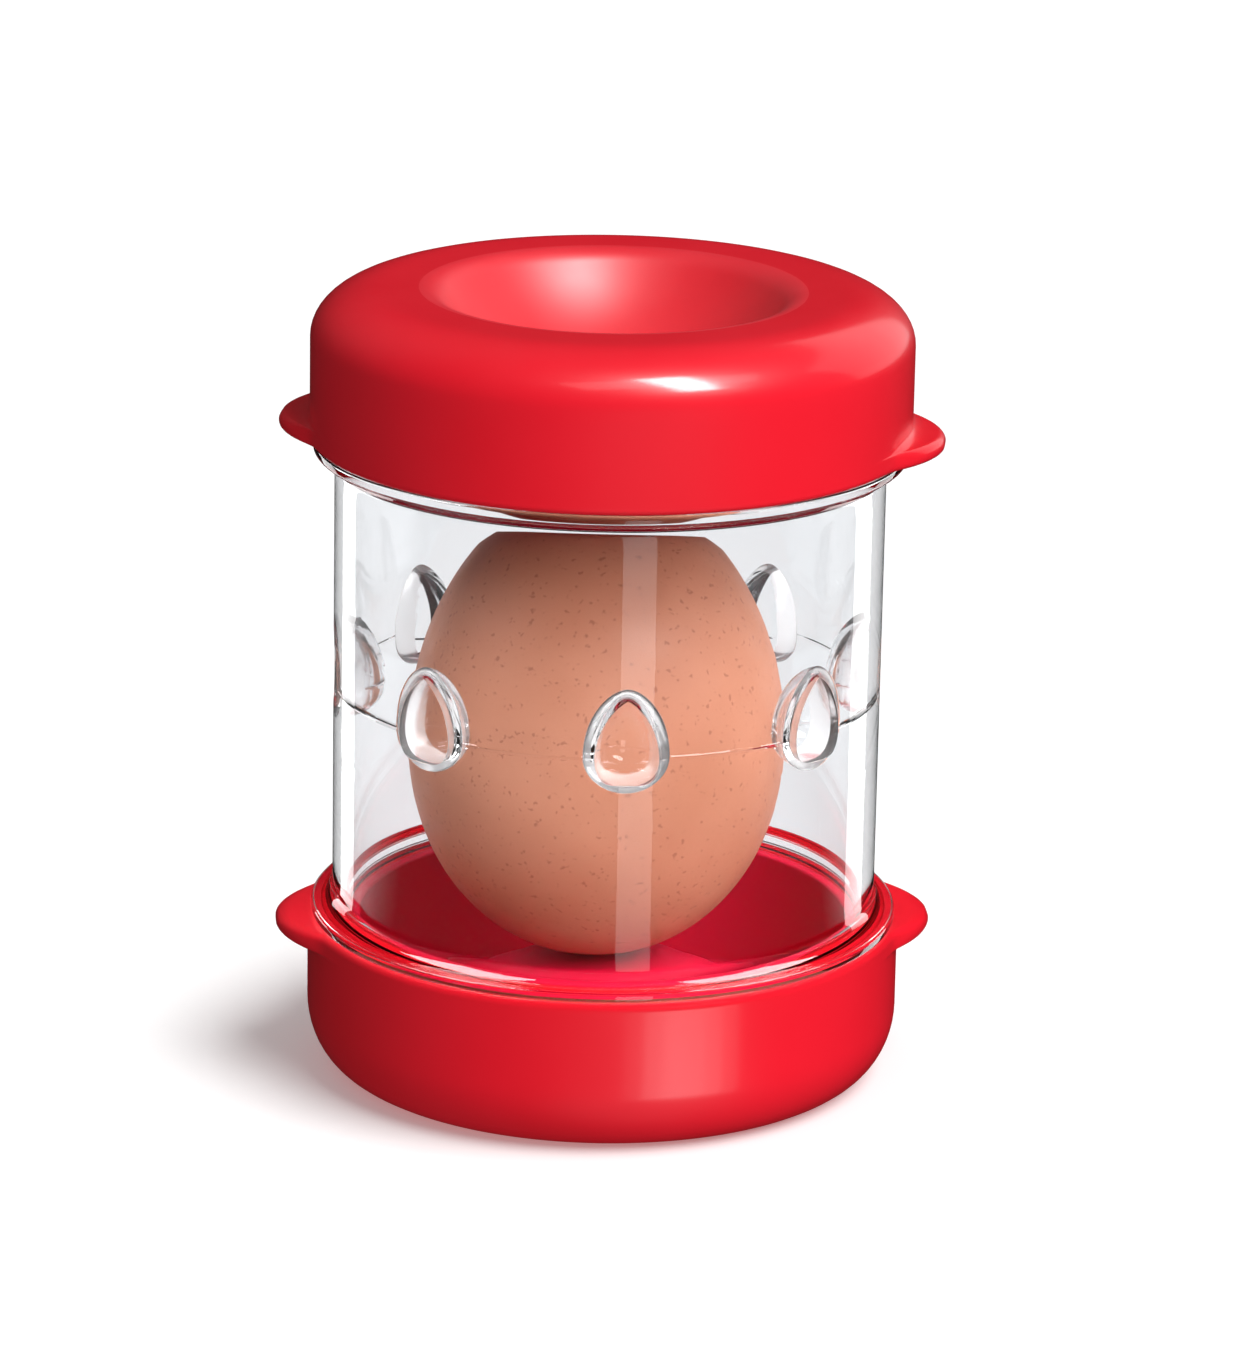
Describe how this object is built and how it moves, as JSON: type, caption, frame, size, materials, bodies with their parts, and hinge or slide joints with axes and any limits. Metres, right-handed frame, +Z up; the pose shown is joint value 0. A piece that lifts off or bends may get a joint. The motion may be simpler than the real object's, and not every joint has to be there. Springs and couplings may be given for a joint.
{
  "type": "egg peeler",
  "caption": "Hand-shaken boiled-egg peeler: a clear tube with hollow inward knobs, closed by dished red snap caps with pull tabs, an egg standing inside.",
  "frame": {"origin": "centre of the flat ring it stands on", "axes": "+Z up along the tube's axis; X through the bottom cap's two pull tabs; the front is -Y, where one knob points"},
  "size_m": [0.0776, 0.07, 0.0939],
  "materials": {
    "red_cap": "satin gloss, soft red polyethylene",
    "clear_plastic": "clear, polished",
    "eggshell": "matt brown eggshell with fine dark speckles"
  },
  "bodies": {
    "base": {"bottom_cap": "red_cap"},
    "chamber": {"tube": "clear_plastic"},
    "lid": {"top_cap": "red_cap"},
    "egg": {"boiled_egg": "eggshell"}
  },
  "joints": [
    {"name": "tube_lift", "type": "slide", "parent": "base", "child": "chamber", "axis": [0, 0, 1], "range_m": [0, 0.04]},
    {"name": "lid_lift", "type": "slide", "parent": "chamber", "child": "lid", "axis": [0, 0, 1], "range_m": [0, 0.07]},
    {"name": "egg_shake", "type": "slide", "parent": "base", "child": "egg", "axis": [0, 0, 1], "range_m": [0, 0.0085]}
  ]
}
